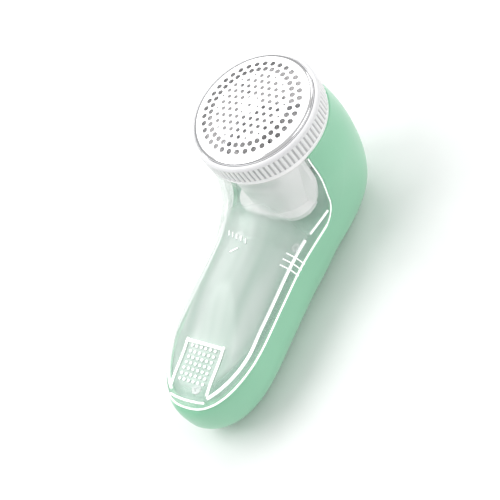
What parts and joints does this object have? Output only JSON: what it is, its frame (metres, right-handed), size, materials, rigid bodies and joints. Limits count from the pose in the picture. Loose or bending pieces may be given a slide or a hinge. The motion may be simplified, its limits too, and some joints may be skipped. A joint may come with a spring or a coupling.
{
  "type": "fabric shaver",
  "caption": "Hand-held fabric shaver with a round pierced steel foil behind a knurled lock ring, a rotary cutter inside, and a clear lint bin along the front of a curved handle.",
  "frame": {"origin": "on the back plane that the shaver lies on, under the middle of its overall box", "axes": "+Y along the handle towards the head, +Z out of the foil, +X across the handle"},
  "size_m": [0.0628, 0.1499, 0.08],
  "materials": {
    "shell_green": "smooth moulded plastic, mint green",
    "clear_cover": "clear moulded plastic, lightly frosted",
    "ring_clear": "translucent white plastic, knurled",
    "white_plastic": "white moulded plastic",
    "deck_plastic": "pale moulded plastic",
    "foil_steel": "polished pierced steel",
    "blade_steel": "ground spring steel",
    "steel": "plain steel",
    "zinc_steel": "zinc plated steel",
    "brass": "plain brass",
    "magnet": "sintered ferrite",
    "dark_plastic": "black moulded plastic",
    "copper": "enamelled copper wire",
    "cell_sleeve": "printed plastic sleeve without lettering",
    "lead_cover": "insulated wire",
    "switch_plastic": "white moulded plastic"
  },
  "bodies": {
    "body": {"rear_housing": "shell_green", "front_deck": "deck_plastic", "cutter_chamber": "white_plastic", "motor_can": "zinc_steel", "motor_magnets": "magnet", "motor_end_cap": "dark_plastic", "motor_bushes": "brass", "motor_terminals": "brass", "motor_brushes": "copper", "cell_left": "cell_sleeve", "cell_right": "cell_sleeve", "terminal_plates": "zinc_steel", "link_plate": "zinc_steel", "contact_springs": "zinc_steel", "switch_body": "dark_plastic", "leads": "lead_cover", "deck_screws": "zinc_steel", "chamber_screws": "zinc_steel", "motor_screws": "zinc_steel"},
    "rotor": {"motor_shaft": "steel", "commutator": "copper", "armature_core": "steel", "windings": "copper", "impeller": "white_plastic", "blade_spring": "steel", "cutter_blades": "blade_steel", "blade_carrier": "white_plastic", "blade_cap": "white_plastic"},
    "foil_unit": {"foil": "foil_steel", "foil_rim": "white_plastic"},
    "ring": {"lock_ring": "ring_clear"},
    "bin": {"lint_bin": "clear_cover"},
    "slider": {"switch_slider": "switch_plastic"},
    "door": {"battery_door": "shell_green"}
  },
  "joints": [
    {"name": "rotor_spin", "type": "hinge", "parent": "body", "child": "rotor", "pos_m": [0, 0.0444, 0.05], "axis": [0, 0, 1], "continuous": true},
    {"name": "foil_lift", "type": "slide", "parent": "body", "child": "foil_unit", "axis": [0, 0, 1], "range_m": [0, 0.02]},
    {"name": "ring_turn", "type": "hinge", "parent": "foil_unit", "child": "ring", "pos_m": [0, 0.0444, 0.07], "axis": [0, 0, 1], "range_deg": [0, 201]},
    {"name": "bin_slide", "type": "slide", "parent": "body", "child": "bin", "axis": [0, -1, 0], "range_m": [0, 0.11]},
    {"name": "switch_slide", "type": "slide", "parent": "body", "child": "slider", "axis": [0, 1, 0], "range_m": [0, 0.005]},
    {"name": "door_lift", "type": "slide", "parent": "body", "child": "door", "axis": [0, 0, -1], "range_m": [0, 0.03]}
  ],
  "couplings": [
    {"joint": "ring_turn", "follows": "foil_lift", "rad_per_m": 174.53}
  ]
}
